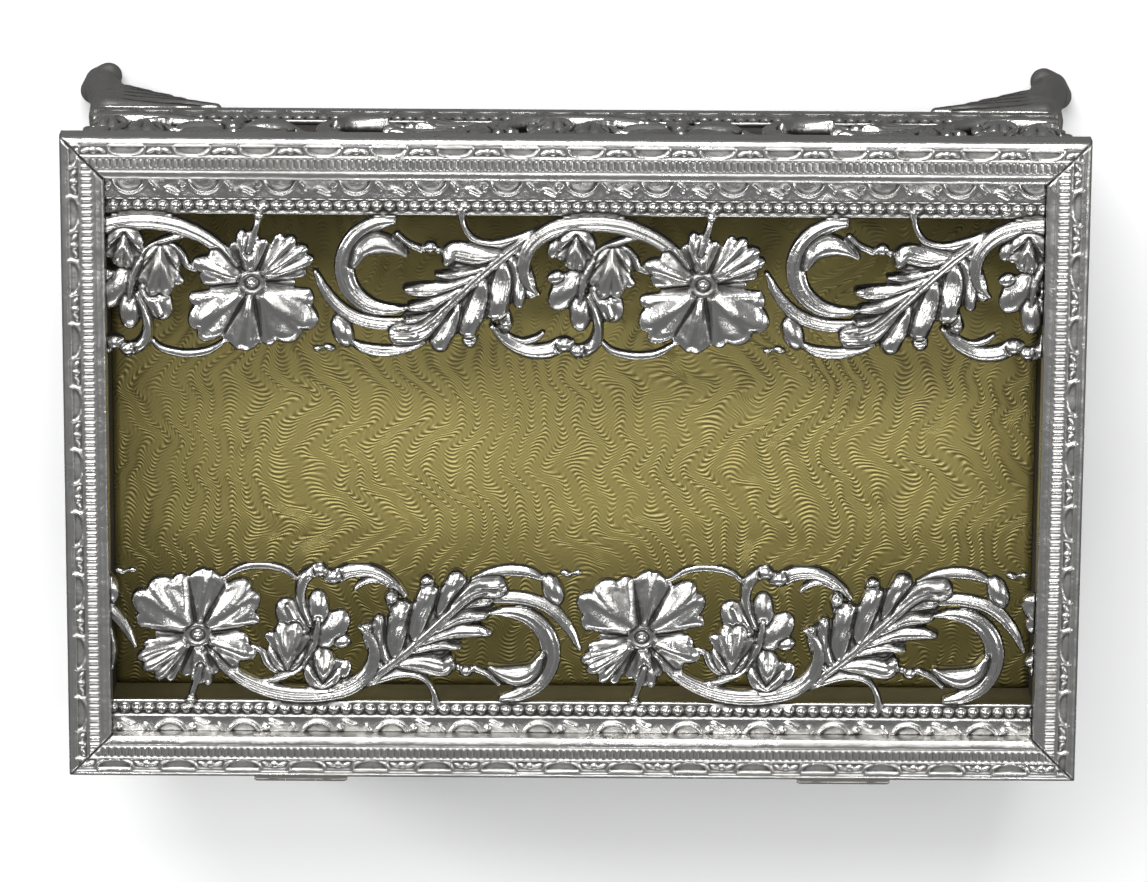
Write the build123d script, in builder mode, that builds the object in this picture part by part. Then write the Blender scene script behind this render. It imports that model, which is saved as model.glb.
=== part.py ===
# Footed filigree vanity box with a hinged frame lid.
# The origin is on the table, under the middle of the box. X runs along the long side, +Z is up, and
# the front wall faces -Y. The lid is shut.
import os
from math import cos, floor, radians, sin

from build123d import *

os.makedirs("parts", exist_ok=True)

# Overall sizes, in mm
lid_length = 203.0
lid_depth = 132.0
lid_height = 5.9
foot_height = 24.4

# Sheet and board thicknesses
base_sheet = 0.8
liner_thickness = 1.5
filigree_sheet = 0.6
rail_skin = 0.8
backing_sheet = 0.8
floor_board_thickness = 1.4
floor_panel_thickness = 0.6
leaf_thickness = 0.5

# Clearances
assembly_gap = 0.1
lid_gap = 0.1
pin_clearance = 0.05
screw_clearance = 0.1

# Stamped filigree band: a solid border along one edge and openwork up to the other
border_width = 8.0
openwork_width = 30.2
band_width = border_width + openwork_width
flower_pitch = 89.4
flower_axis = 15.0  # from the border's inner edge to the middle of a flower
petal_ring_radius = 7.0
petal_radius = 5.4
flower_boss_radius = 2.2
vine_width = 2.6
scroll_radius = 6.6
scroll_width = 2.4
leaf_half_length = 14.0
leaf_half_width = 5.0
leaf_turn = 38.0
bead_rail_width = 2.0
bead_rail_offset = 1.6  # from the border's inner edge to the bead rail's middle
end_tab_width = 0.8
vine_relief = 0.9
leaf_relief = 1.6
flower_relief = 1.9

# What stands between two flowers, as (along the band from a flower, down from the border's inner edge)
vine_valley = (26.8, 21.7)
vine_rise = (51.9, flower_axis)
vine_crest = (62.6, 6.0)
tendril_tip = (-17.9, 24.2)
tendril_low = (0.0, 26.6)
scroll_place = (27.7, 13.9)
leaf_place = (42.0, 17.5)

# Where the first flower stands along each band, from the band's middle
lid_front_flower = 25.4
lid_back_flower = -13.9
wall_front_flower = 21.0
wall_back_flower = -21.0
wall_side_flower = 4.0

# Walls
wall_inset = 4.3  # from the lid's outer edge in to the face of the filigree
base_lip_height = 3.0
base_lip_thickness = 0.7

# Lid moulding, a folded channel
rail_width = 8.6
outer_shoulder_radius = 1.2
inner_bevel_width = 2.0
inner_bevel_drop = 1.4
inner_leg_clearance = 0.2
border_tuck = 1.4  # how far the band's border goes under the long rails
end_tuck = 3.0  # how far the band's ends go under the short rails
key_arm_length = 16.0
key_width = 3.6
key_thickness = 1.2

# Cast corner feet
toe_radius = 4.7
neck_radius = 3.7
neck_inset = 2.4
neck_height = 10.0
crown_radius = 7.2
crown_inset = 7.4
pad_size = 16.0
pad_thickness = 2.0
wing_length = 28.0
wing_thickness = 3.6
wing_overhang = 1.6
wing_root_inset = 2.0
wing_shoulder_inset = 21.3
wing_shoulder_drop = 4.9
wing_heel_inset = 14.0
wing_drop = 13.2
wing_foot_inset = 4.0

# Foot screws
screw_inset = 8.6
screw_radius = 1.2
screw_head_radius = 2.4
screw_head_height = 1.1
screw_depth = 7.0

# Hinges
hinge_spacing = 110.0
hinge_width = 18.0
centre_knuckle_width = 6.0
knuckle_gap = 0.15
barrel_radius = 1.2
pin_radius = 0.6
pin_head_radius = 1.0
pin_head_thickness = 0.4
lid_leaf_top = 4.7  # above the lid's underside
lid_leaf_swing_gap = 0.3
box_tab_height = 8.0
rivet_radius = 0.6
rivet_head_radius = 1.1
rivet_head_thickness = 0.4
rivet_spacing = 11.0

# Heights
base_underside = foot_height
base_top = base_underside + base_sheet
board_top = base_top + floor_board_thickness
panel_top = board_top + floor_panel_thickness
band_top = base_top + band_width
strap_underside = band_top + assembly_gap
seat = strap_underside + leaf_thickness
lid_underside = seat + lid_gap
lid_top = lid_underside + lid_height
backing_top = lid_underside + backing_sheet
lid_band_face = backing_top + filigree_sheet
hinge_axis_height = (seat + lid_underside) / 2

# Half sizes in plan, as (along X, along Y)
lid_half = (lid_length / 2, lid_depth / 2)
opening_half = (lid_half[0] - rail_width, lid_half[1] - rail_width)
wall_face = (lid_half[0] - wall_inset, lid_half[1] - wall_inset)
base_half = tuple(side + base_lip_thickness for side in wall_face)
liner_outer = tuple(side - filigree_sheet - assembly_gap for side in wall_face)
liner_inner = tuple(side - liner_thickness for side in liner_outer)
hinge_axis_depth = lid_half[1] + assembly_gap + barrel_radius
hinge_places = (-hinge_spacing / 2, hinge_spacing / 2)
rivet_places = tuple(x + side * rivet_spacing / 2 for x in hinge_places for side in (-1, 1))
corners = {
    "front_left": (-1, -1),
    "front_right": (1, -1),
    "back_left": (-1, 1),
    "back_right": (1, 1),
}


def save(node, name):
    node.part.label = name
    export_step(node.part, f"parts/{name}.step")


def wall_plane(x, y, height, outward):
    """A plane on a wall's face: its normal points out of the box and its Y axis points down."""
    return Plane(origin=(x, y, height), x_dir=(outward[1], -outward[0], 0), z_dir=(*outward, 0))


def lid_plane(y, height, outward_y):
    """A plane on the lid: its normal points up and its Y axis points at the nearer long edge."""
    return Plane(origin=(0, y, height), x_dir=(outward_y, 0, 0), z_dir=(0, 0, 1))


# Base plate: sheet with its edges folded up, so that walls and liners stand inside the lip
screw_places = {
    corner: (sx * (base_half[0] - screw_inset), sy * (base_half[1] - screw_inset))
    for corner, (sx, sy) in corners.items()
}
with BuildPart() as base_plate:
    with BuildSketch(Plane.XY.offset(base_underside)):
        Rectangle(2 * base_half[0], 2 * base_half[1])
    extrude(amount=base_lip_height)
    with BuildSketch(Plane.XY.offset(base_top)):
        Rectangle(2 * wall_face[0], 2 * wall_face[1])
    extrude(amount=base_lip_height, mode=Mode.SUBTRACT)
    with BuildSketch(Plane.XY.offset(base_underside)):
        with Locations(*screw_places.values()):
            Circle(screw_radius + screw_clearance)
    extrude(amount=base_sheet, mode=Mode.SUBTRACT)
save(base_plate, "base_plate")


# Floor: a card board with holes over the screw heads, and the foil-faced panel that covers it
floor_half = (liner_inner[0] - assembly_gap, liner_inner[1] - assembly_gap)
with BuildPart() as floor_board:
    with BuildSketch(Plane.XY.offset(base_top)):
        Rectangle(2 * floor_half[0], 2 * floor_half[1])
        with Locations(*screw_places.values()):
            Circle(screw_head_radius + 2 * screw_clearance, mode=Mode.SUBTRACT)
    extrude(amount=floor_board_thickness)
save(floor_board, "floor_board")

with BuildPart() as floor_panel:
    with BuildSketch(Plane.XY.offset(board_top)):
        Rectangle(2 * floor_half[0], 2 * floor_half[1])
    extrude(amount=floor_panel_thickness)
save(floor_panel, "floor_panel")


# Liners: the long ones run past the short ones at the corners
box_rivet_height = seat - box_tab_height + 2 * rivet_head_radius
liner_middle = tuple(side - liner_thickness / 2 for side in liner_outer)
long_size = (2 * liner_outer[0], liner_thickness)
short_size = (liner_thickness, 2 * (liner_inner[1] - assembly_gap))


def liner(name, centre, size, hinged):
    with BuildPart() as sheet:
        with BuildSketch(Plane.XY.offset(base_top)):
            with Locations(centre):
                Rectangle(*size)
        extrude(amount=seat - base_top)
        if hinged:
            with BuildSketch(Plane.XY.offset(strap_underside - assembly_gap)):
                with Locations(*[(x, centre[1]) for x in hinge_places]):
                    Rectangle(hinge_width + 2 * assembly_gap, size[1])
            extrude(amount=leaf_thickness + assembly_gap, mode=Mode.SUBTRACT)
            with BuildSketch(Plane.XZ.offset(-centre[1] - size[1])):
                with Locations(*[(x, box_rivet_height) for x in rivet_places]):
                    Circle(rivet_radius + pin_clearance)
            extrude(amount=2 * size[1], mode=Mode.SUBTRACT)
    save(sheet, name)


liner("liner_front", (0, -liner_middle[1]), long_size, False)
liner("liner_back", (0, liner_middle[1]), long_size, True)
liner("liner_left", (-liner_middle[0], 0), short_size, False)
liner("liner_right", (liner_middle[0], 0), short_size, False)


# Filigree bands. The plane's origin is on the border's inner edge, in the middle of the band: its X
# runs along the band, its Y across the border, and its Z out of the face.
def flower_places(length, first_flower):
    """The flowers' places along the band, with one more beyond each end so that stems carry on."""
    before = floor((length / 2 + first_flower) / flower_pitch) + 1
    after = floor((length / 2 - first_flower) / flower_pitch) + 1
    return [first_flower + flower_pitch * step for step in range(-before, after + 1)]


def petals(flower):
    for turn in range(5):
        angle = radians(90 + 72 * turn)
        yield flower + petal_ring_radius * cos(angle), petal_ring_radius * sin(angle) - flower_axis


def from_flower(flower, place):
    """A point on the band's plane, from a flower's place along it and an (along, down) offset."""
    return flower + place[0], -place[1]


def filigree_band(name, plane, length, relief_length, first_flower):
    flowers = flower_places(length, first_flower)
    outline_middle = (0, (border_width - openwork_width) / 2)
    tab_width = end_tab_width + (length - relief_length) / 2
    with BuildPart() as band:
        with BuildSketch(plane.offset(-filigree_sheet)):
            with Locations((0, border_width / 2)):
                Rectangle(length, border_width)
            for end in (-1, 1):
                with Locations((end * (length - tab_width) / 2, -openwork_width / 2)):
                    Rectangle(tab_width, openwork_width)
        extrude(amount=filigree_sheet)
        with BuildSketch(plane.offset(-filigree_sheet)):
            for flower in flowers:
                valley = from_flower(flower, vine_valley)
                rise = from_flower(flower, vine_rise)
                crest = from_flower(flower, vine_crest)
                low = from_flower(flower, tendril_low)
                with BuildLine():
                    ThreePointArc((flower, -flower_axis), valley, rise)
                    ThreePointArc(rise, crest, (flower + flower_pitch, -flower_axis))
                trace(line_width=vine_width)
                with BuildLine():
                    ThreePointArc(from_flower(flower, tendril_tip), low, valley)
                trace(line_width=vine_width / 2)
                for tie_x, tie_foot in ((flower, -flower_axis), crest):
                    with Locations((tie_x, tie_foot / 2)):
                        Rectangle(vine_width / 2, -tie_foot)
            with Locations(outline_middle):
                Rectangle(relief_length, band_width, mode=Mode.INTERSECT)
        extrude(amount=filigree_sheet + vine_relief)
        with BuildSketch(plane.offset(-filigree_sheet)):
            with Locations(*[from_flower(flower, scroll_place) for flower in flowers]):
                Circle(scroll_radius + scroll_width / 2)
                Circle(scroll_radius - scroll_width / 2, mode=Mode.SUBTRACT)
            with Locations(*[from_flower(flower, leaf_place) for flower in flowers]):
                Ellipse(leaf_half_length, leaf_half_width, rotation=leaf_turn)
            with Locations(outline_middle):
                Rectangle(relief_length, band_width, mode=Mode.INTERSECT)
        extrude(amount=filigree_sheet + leaf_relief)
        with BuildSketch(plane.offset(-filigree_sheet)):
            for flower in flowers:
                with Locations(*petals(flower)):
                    Circle(petal_radius)
            with Locations((0, bead_rail_offset)):
                Rectangle(relief_length, bead_rail_width)
            with Locations(outline_middle):
                Rectangle(relief_length, band_width, mode=Mode.INTERSECT)
        extrude(amount=filigree_sheet + flower_relief)
    save(band, name)


border_height = base_top + border_width
filigree_band(
    "wall_filigree_front",
    wall_plane(0, -wall_face[1], border_height, (0, -1)),
    2 * wall_face[0],
    2 * wall_face[0],
    wall_front_flower,
)
filigree_band(
    "wall_filigree_back",
    wall_plane(0, wall_face[1], border_height, (0, 1)),
    2 * wall_face[0],
    2 * wall_face[0],
    wall_back_flower,
)
short_band = 2 * (wall_face[1] - filigree_sheet - assembly_gap)
filigree_band(
    "wall_filigree_left",
    wall_plane(-wall_face[0], 0, border_height, (-1, 0)),
    short_band,
    short_band,
    wall_side_flower,
)
filigree_band(
    "wall_filigree_right",
    wall_plane(wall_face[0], 0, border_height, (1, 0)),
    short_band,
    short_band,
    wall_side_flower,
)
border_inner_edge = opening_half[1] + border_tuck - border_width
lid_band_length = 2 * (opening_half[0] + end_tuck)
lid_relief_length = 2 * (opening_half[0] - assembly_gap)
filigree_band(
    "lid_filigree_front",
    lid_plane(-border_inner_edge, lid_band_face, -1),
    lid_band_length,
    lid_relief_length,
    lid_front_flower,
)
filigree_band(
    "lid_filigree_back",
    lid_plane(border_inner_edge, lid_band_face, 1),
    lid_band_length,
    lid_relief_length,
    lid_back_flower,
)


# Cast feet: a flared toe, a neck and a crown under the base plate, with a leaf wing along each wall
def foot(name, sx, sy, screw_place):
    corner = (sx * base_half[0], sy * base_half[1])

    def inward(amount):
        return (corner[0] - sx * amount, corner[1] - sy * amount)

    with BuildPart() as casting:
        with BuildSketch(Plane.XY):
            with Locations(corner):
                Circle(toe_radius)
        with BuildSketch(Plane.XY.offset(neck_height)):
            with Locations(inward(neck_inset)):
                Circle(neck_radius)
        with BuildSketch(Plane.XY.offset(base_underside)):
            with Locations(inward(crown_inset)):
                Circle(crown_radius)
        loft()
        with BuildSketch(Plane.XY.offset(base_underside - pad_thickness)):
            with Locations(inward(pad_size / 2)):
                RectangleRounded(pad_size, pad_size, toe_radius)
        extrude(amount=pad_thickness)
        for along in (0, 1):
            wing = (
                (wing_root_inset, 0),
                (wing_length, 0),
                (wing_shoulder_inset, wing_shoulder_drop),
                (wing_heel_inset, wing_drop),
                (wing_foot_inset, wing_drop),
            )
            reach = (sx, sy)[along]
            base = Plane.XZ if along == 0 else Plane.YZ
            face = -corner[1] if along == 0 else corner[0]
            side = -sy if along == 0 else sx
            with BuildSketch(base.offset(face + side * wing_overhang)):
                Polygon(
                    *[(corner[along] - reach * inset, base_underside - drop) for inset, drop in wing],
                    align=None,
                )
            extrude(amount=-side * wing_thickness)
        with BuildSketch(Plane.XY.offset(base_underside)):
            with Locations(screw_place):
                Circle(screw_radius + pin_clearance)
        extrude(amount=-screw_depth - screw_clearance, mode=Mode.SUBTRACT)
    save(casting, name)


for corner_name, signs in corners.items():
    foot(f"foot_{corner_name}", *signs, screw_places[corner_name])

with BuildPart() as foot_screws:
    with BuildSketch(Plane.XY.offset(base_top)):
        with Locations(*screw_places.values()):
            Circle(screw_head_radius)
    extrude(amount=screw_head_height)
    with BuildSketch(Plane.XY.offset(base_top)):
        with Locations(*screw_places.values()):
            Circle(screw_radius)
    extrude(amount=-base_sheet - screw_depth)
save(foot_screws, "foot_screws")


# Lid moulding: four mitred lengths of one folded channel
lid_leaf_foot = hinge_axis_height + barrel_radius + lid_leaf_swing_gap
lid_rivet_height = (lid_leaf_foot + lid_underside + lid_leaf_top) / 2


def lid_rail(name, along, side, hinged):
    """along is 0 for the long rails and 1 for the short ones, and side is -1 or +1."""
    half = lid_half[along]
    edge = side * lid_half[1 - along]
    inward = (0, -side, 0) if along == 0 else (-side, 0, 0)
    run = (-side, 0, 0) if along == 0 else (0, side, 0)
    start = (side * half, edge, lid_underside) if along == 0 else (edge, -side * half, lid_underside)
    inner_leg_foot = lid_band_face - lid_underside + inner_leg_clearance
    bevel_foot = lid_height - inner_bevel_drop
    with BuildPart() as rail:
        with BuildSketch(Plane(origin=start, x_dir=inward, z_dir=run)):
            with BuildLine():
                Polyline((rail_skin, 0), (0, 0), (0, lid_height - outer_shoulder_radius))
                RadiusArc(
                    (0, lid_height - outer_shoulder_radius),
                    (outer_shoulder_radius, lid_height),
                    outer_shoulder_radius,
                )
                Polyline(
                    (outer_shoulder_radius, lid_height),
                    (rail_width - inner_bevel_width, lid_height),
                    (rail_width, bevel_foot),
                    (rail_width, inner_leg_foot),
                    (rail_width - rail_skin, inner_leg_foot),
                    (rail_width - rail_skin, bevel_foot - rail_skin / 2),
                    (rail_width - inner_bevel_width - rail_skin / 2, lid_height - rail_skin),
                    (outer_shoulder_radius, lid_height - rail_skin),
                    (rail_skin, lid_height - outer_shoulder_radius),
                    (rail_skin, 0),
                )
            make_face()
        extrude(amount=2 * half)
        with BuildSketch(Plane.XY.offset(lid_underside)):
            inner_edge = edge - side * rail_width
            inner_half = half - rail_width
            mitred = [(-half, edge), (half, edge), (inner_half, inner_edge), (-inner_half, inner_edge)]
            Polygon(*[(x, y) if along == 0 else (y, x) for x, y in mitred], align=None)
        extrude(amount=lid_height, mode=Mode.INTERSECT)
        if hinged:
            with BuildSketch(Plane.XZ.offset(-edge)):
                with Locations(*[(x, lid_rivet_height) for x in rivet_places]):
                    Circle(rivet_radius + pin_clearance)
            extrude(amount=rail_skin, mode=Mode.SUBTRACT)
    save(rail, name)


lid_rail("lid_rail_front", 0, -1, False)
lid_rail("lid_rail_back", 0, 1, True)
lid_rail("lid_rail_left", 1, -1, False)
lid_rail("lid_rail_right", 1, 1, False)

# Backing frame: a flat ring that closes the channels and holds the filigree up against them
backing_margin = rail_skin + assembly_gap
with BuildPart() as lid_backing:
    with BuildSketch(Plane.XY.offset(lid_underside)):
        Rectangle(lid_length - 2 * backing_margin, lid_depth - 2 * backing_margin)
        Rectangle(2 * opening_half[0], 2 * opening_half[1], mode=Mode.SUBTRACT)
    extrude(amount=backing_sheet)
save(lid_backing, "lid_backing")

# Corner keys: flat angles inside the channels, one across each mitre
key_margin = backing_margin + 2 * assembly_gap
with BuildPart() as lid_corner_keys:
    with BuildSketch(Plane.XY.offset(backing_top)):
        for sx, sy in corners.values():
            tip = (sx * (lid_half[0] - key_margin), sy * (lid_half[1] - key_margin))
            arm = key_arm_length
            Polygon(
                tip,
                (tip[0] - sx * arm, tip[1]),
                (tip[0] - sx * arm, tip[1] - sy * key_width),
                (tip[0] - sx * key_width, tip[1] - sy * key_width),
                (tip[0] - sx * key_width, tip[1] - sy * arm),
                (tip[0], tip[1] - sy * arm),
                align=None,
            )
    extrude(amount=key_thickness)
save(lid_corner_keys, "lid_corner_keys")


# Hinges: the box leaf's strap passes over the wall and turns down inside it, and the lid leaf
# stands on the back rail's outer face. The lid's knuckle turns between the box's two.
barrel_middle = (hinge_axis_depth, hinge_axis_height)


def hinge_box_leaf(name, middle):
    outer_knuckle_width = (hinge_width - centre_knuckle_width) / 2 - knuckle_gap
    shift = (hinge_width - outer_knuckle_width) / 2
    tab_face = liner_inner[1]
    with BuildPart() as leaf:
        with BuildSketch(Plane.XY.offset(strap_underside)):
            with Locations((middle, (tab_face - leaf_thickness + lid_half[1]) / 2)):
                Rectangle(hinge_width, lid_half[1] - tab_face + leaf_thickness)
            for side in (-1, 1):
                with Locations((middle + side * shift, (lid_half[1] + hinge_axis_depth) / 2)):
                    Rectangle(outer_knuckle_width, hinge_axis_depth - lid_half[1])
        extrude(amount=leaf_thickness)
        with BuildSketch(Plane.XY.offset(seat - box_tab_height)):
            with Locations((middle, tab_face - leaf_thickness / 2)):
                Rectangle(hinge_width, leaf_thickness)
        extrude(amount=box_tab_height)
        for radius, mode in ((barrel_radius, Mode.ADD), (pin_radius, Mode.SUBTRACT)):
            for side in (-1, 1):
                with BuildSketch(Plane.YZ.offset(middle + side * shift)):
                    with Locations(barrel_middle):
                        Circle(radius)
                extrude(amount=outer_knuckle_width / 2, both=True, mode=mode)
        with BuildSketch(Plane.XZ.offset(-tab_face)):
            with Locations(*[(middle + side * rivet_spacing / 2, box_rivet_height) for side in (-1, 1)]):
                Circle(rivet_radius + pin_clearance)
        extrude(amount=leaf_thickness, mode=Mode.SUBTRACT)
    save(leaf, name)


def hinge_lid_leaf(name, middle):
    with BuildPart() as leaf:
        plate = (lid_leaf_foot, hinge_width)
        tongue = (hinge_axis_height, centre_knuckle_width)
        for foot_level, width in (plate, tongue):
            with BuildSketch(Plane.XY.offset(foot_level)):
                with Locations((middle, lid_half[1] + leaf_thickness / 2)):
                    Rectangle(width, leaf_thickness)
            extrude(amount=lid_underside + lid_leaf_top - foot_level)
        for radius, mode in ((barrel_radius, Mode.ADD), (pin_radius + pin_clearance, Mode.SUBTRACT)):
            with BuildSketch(Plane.YZ.offset(middle)):
                with Locations(barrel_middle):
                    Circle(radius)
            extrude(amount=centre_knuckle_width / 2, both=True, mode=mode)
        with BuildSketch(Plane.XZ.offset(-lid_half[1])):
            with Locations(*[(middle + side * rivet_spacing / 2, lid_rivet_height) for side in (-1, 1)]):
                Circle(rivet_radius + pin_clearance)
        extrude(amount=-leaf_thickness, mode=Mode.SUBTRACT)
    save(leaf, name)


def hinge_pin(name, middle):
    with BuildPart() as pin:
        with BuildSketch(Plane.YZ.offset(middle - hinge_width / 2)):
            with Locations(barrel_middle):
                Circle(pin_radius)
        extrude(amount=hinge_width)
        for end, way in ((middle - hinge_width / 2, -1), (middle + hinge_width / 2, 1)):
            with BuildSketch(Plane.YZ.offset(end)):
                with Locations(barrel_middle):
                    Circle(pin_head_radius)
            extrude(amount=way * pin_head_thickness)
    save(pin, name)


for side_name, place in zip(("left", "right"), hinge_places):
    hinge_box_leaf(f"hinge_box_leaf_{side_name}", place)
    hinge_lid_leaf(f"hinge_lid_leaf_{side_name}", place)
    hinge_pin(f"hinge_pin_{side_name}", place)


def rivets(name, height, head_face, head_way, shank_length):
    """Rivets along Y, with their heads standing on a face and their shanks running the other way."""
    with BuildPart() as group:
        with BuildSketch(Plane.XZ.offset(-head_face)):
            with Locations(*[(x, height) for x in rivet_places]):
                Circle(rivet_head_radius)
        extrude(amount=-head_way * rivet_head_thickness)
        with BuildSketch(Plane.XZ.offset(-head_face)):
            with Locations(*[(x, height) for x in rivet_places]):
                Circle(rivet_radius)
        extrude(amount=head_way * shank_length)
    save(group, name)


box_shank = leaf_thickness + liner_thickness
lid_shank = leaf_thickness + rail_skin
rivets("hinge_box_rivets", box_rivet_height, liner_inner[1] - leaf_thickness, -1, box_shank)
rivets("hinge_lid_rivets", lid_rivet_height, lid_half[1] + leaf_thickness, 1, lid_shank)
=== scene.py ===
import math
import random

import bmesh
import bpy
import numpy as np
from mathutils import Matrix, Vector


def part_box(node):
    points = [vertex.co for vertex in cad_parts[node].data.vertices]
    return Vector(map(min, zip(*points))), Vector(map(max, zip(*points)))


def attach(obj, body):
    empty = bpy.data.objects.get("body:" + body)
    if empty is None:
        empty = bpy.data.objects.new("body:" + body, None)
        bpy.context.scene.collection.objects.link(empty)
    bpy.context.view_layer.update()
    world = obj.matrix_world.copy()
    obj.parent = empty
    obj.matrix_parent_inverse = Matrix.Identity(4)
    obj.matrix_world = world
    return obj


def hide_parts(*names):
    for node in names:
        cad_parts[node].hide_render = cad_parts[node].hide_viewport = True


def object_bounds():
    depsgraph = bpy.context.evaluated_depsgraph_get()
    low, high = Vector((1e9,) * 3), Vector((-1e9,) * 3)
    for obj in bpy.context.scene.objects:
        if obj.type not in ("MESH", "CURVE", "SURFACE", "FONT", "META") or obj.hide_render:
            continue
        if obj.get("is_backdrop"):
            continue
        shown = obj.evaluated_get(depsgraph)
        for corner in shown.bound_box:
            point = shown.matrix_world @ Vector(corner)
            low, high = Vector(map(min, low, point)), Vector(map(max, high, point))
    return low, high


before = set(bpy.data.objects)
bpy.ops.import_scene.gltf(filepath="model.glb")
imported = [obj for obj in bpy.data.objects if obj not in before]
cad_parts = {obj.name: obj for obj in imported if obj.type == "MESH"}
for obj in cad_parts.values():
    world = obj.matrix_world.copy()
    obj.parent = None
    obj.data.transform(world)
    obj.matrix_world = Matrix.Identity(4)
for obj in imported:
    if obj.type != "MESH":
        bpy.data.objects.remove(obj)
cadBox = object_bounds()
mm = 0.001
boxTop = 0.07  # height of the closed box, which lights and camera look at
backTile = 5  # cells along one side of a large face on a flat back
random.seed(4)


def nodeBox(name):
    # a node's lowest and highest corners, in mm
    low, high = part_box(name)
    return np.array(low) / mm, np.array(high) / mm


def gridMesh(name, points, faces, cavity):
    # faces is a list of arrays, each holding faces with one number of corners
    mesh = bpy.data.meshes.new(name)
    mesh.vertices.add(len(points))
    mesh.vertices.foreach_set("co", (points * mm).astype(np.float32).ravel())
    corners = np.concatenate([group.ravel() for group in faces])
    sizes = np.concatenate([np.full(len(group), group.shape[1]) for group in faces])
    mesh.loops.add(len(corners))
    mesh.loops.foreach_set("vertex_index", corners.astype(np.int32))
    mesh.polygons.add(len(sizes))
    mesh.polygons.foreach_set("loop_start", (np.cumsum(sizes) - sizes).astype(np.int32))
    mesh.update(calc_edges=True)
    # cavity carries the darkening of hollows in the silver: tarnish and painted shade
    layer = mesh.attributes.new("cavity", "FLOAT", "POINT")
    layer.data.foreach_set("value", cavity.astype(np.float32))
    mesh.polygons.foreach_set("use_smooth", np.ones(len(sizes), dtype=bool))
    return mesh


def addPiece(name, mesh, material):
    piece = bpy.data.objects.new(name, mesh)
    bpy.context.scene.collection.objects.link(piece)
    mesh.materials.clear()
    mesh.materials.append(material)
    return piece


def blurred(field, sigma, periodic):
    # soft blur along both axes; sigma is in grid steps
    reach = max(1, int(3 * sigma))
    kernel = np.exp(-0.5 * (np.arange(-reach, reach + 1) / sigma) ** 2)
    kernel /= kernel.sum()
    padded = np.pad(field, ((reach, reach), (0, 0)), mode="wrap" if periodic else "edge")
    field = sum(k * padded[i:i + len(field)] for i, k in enumerate(kernel))
    padded = np.pad(field, ((0, 0), (reach, reach)), mode="edge")
    return sum(k * padded[:, i:i + field.shape[1]] for i, k in enumerate(kernel))


def newRelief(pitch, low, high, step):
    columns = round(pitch / step)
    rows = round((high - low) / step) + 1
    along = np.arange(columns) * pitch / columns
    across = np.linspace(low, high, rows)
    u, w = np.meshgrid(along, across, indexing="ij")
    return {
        "pitch": pitch, "along": along, "across": across, "u": u, "w": w,
        "height": np.zeros_like(u), "inside": np.full_like(u, -5.0),
    }


def windows(relief, low, high):
    # the part of the map under a shape, for each repeat that the shape reaches
    for shift in (-relief["pitch"], 0.0, relief["pitch"]):
        i0, i1 = np.searchsorted(relief["along"], (low[0] + shift, high[0] + shift))
        j0, j1 = np.searchsorted(relief["across"], (low[1], high[1]))
        if i1 > i0 and j1 > j0:
            part = (slice(i0, i1), slice(j0, j1))
            yield part, relief["u"][part] - shift, relief["w"][part]


pressed = {"width": 0.22, "onlyAbove": 0.3}  # how a shape's edge marks what lies under it


def lay(relief, part, height, inside, edge):
    # puts a shape on the map over what is there; with an edge of 0 it only fills what is lower
    under = relief["height"][part]
    mark = edge * np.exp(inside / pressed["width"]) * (under > pressed["onlyAbove"])
    under -= np.where(inside < 0, mark, 0.0)
    least = under if edge == 0 else np.zeros_like(under)
    relief["height"][part] = np.where(inside > 0, np.maximum(least, height), under)
    relief["inside"][part] = np.maximum(relief["inside"][part], inside)


def curveThrough(points, steps=9):
    # Catmull-Rom line through points of (along, across, half width)
    p = np.array(points, dtype=float)
    p = np.vstack([2 * p[0] - p[1], p, 2 * p[-1] - p[-2]])
    line = []
    for a, b, c, d in zip(p[:-3], p[1:-2], p[2:-1], p[3:]):
        for t in np.arange(steps) / steps:
            bend = (2 * a - 5 * b + 4 * c - d) * t * t + (3 * b - a - 3 * c + d) * t ** 3
            line.append(0.5 * (2 * b + (c - a) * t + bend))
    line.append(p[-2])
    return np.array(line)


def stroke(relief, points, height, lift=0.35, grooves=(), edge=0.35, power=0.68, bulge=0.0, runOut=0.1):
    # points are (along, across, half width) and grooves (place, depth, width) across the stroke;
    # grooves fade away over runOut, a share of the length, at both ends, and bulge fattens the tip
    tip, tipLength, thinnest = 0.88, 0.24, 0.12
    line = curveThrough(points)
    line[:, 2] = np.maximum(line[:, 2], thinnest)
    margin = line[:, 2].max() + 1.0
    low, high = line[:, :2].min(0) - margin, line[:, :2].max(0) + margin
    for part, u, w in windows(relief, low, high):
        best = np.full(u.shape, 1e9)
        side = np.zeros(u.shape)
        radius = np.ones(u.shape)
        far = np.zeros(u.shape)
        for number, (a, b) in enumerate(zip(line[:-1], line[1:])):
            run = b[:2] - a[:2]
            length = max(float(run @ run), 1e-9)
            du, dw = u - a[0], w - a[1]
            t = np.clip((du * run[0] + dw * run[1]) / length, 0, 1)
            r = a[2] + t * (b[2] - a[2])
            off = np.hypot(du - t * run[0], dw - t * run[1])
            v = off / r
            nearer = v < best
            best = np.where(nearer, v, best)
            side = np.where(nearer, np.sign(run[0] * dw - run[1] * du), side)
            radius = np.where(nearer, r, radius)
            far = np.where(nearer, (number + t) / (len(line) - 1), far)
        across = side * best
        profile = np.clip(1 - best ** 2, 0, 1)
        raised = lift + height * profile ** power
        raised = raised + bulge * profile ** 0.5 * np.exp(-((far - tip) / tipLength) ** 2)
        fade = np.clip(np.minimum(far, 1 - far) / runOut, 0, 1)
        for place, depth, width in grooves:
            raised = raised - depth * fade * np.exp(-((across - place) / width) ** 2)
        lay(relief, part, raised, radius * (1 - best), edge)


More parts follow.
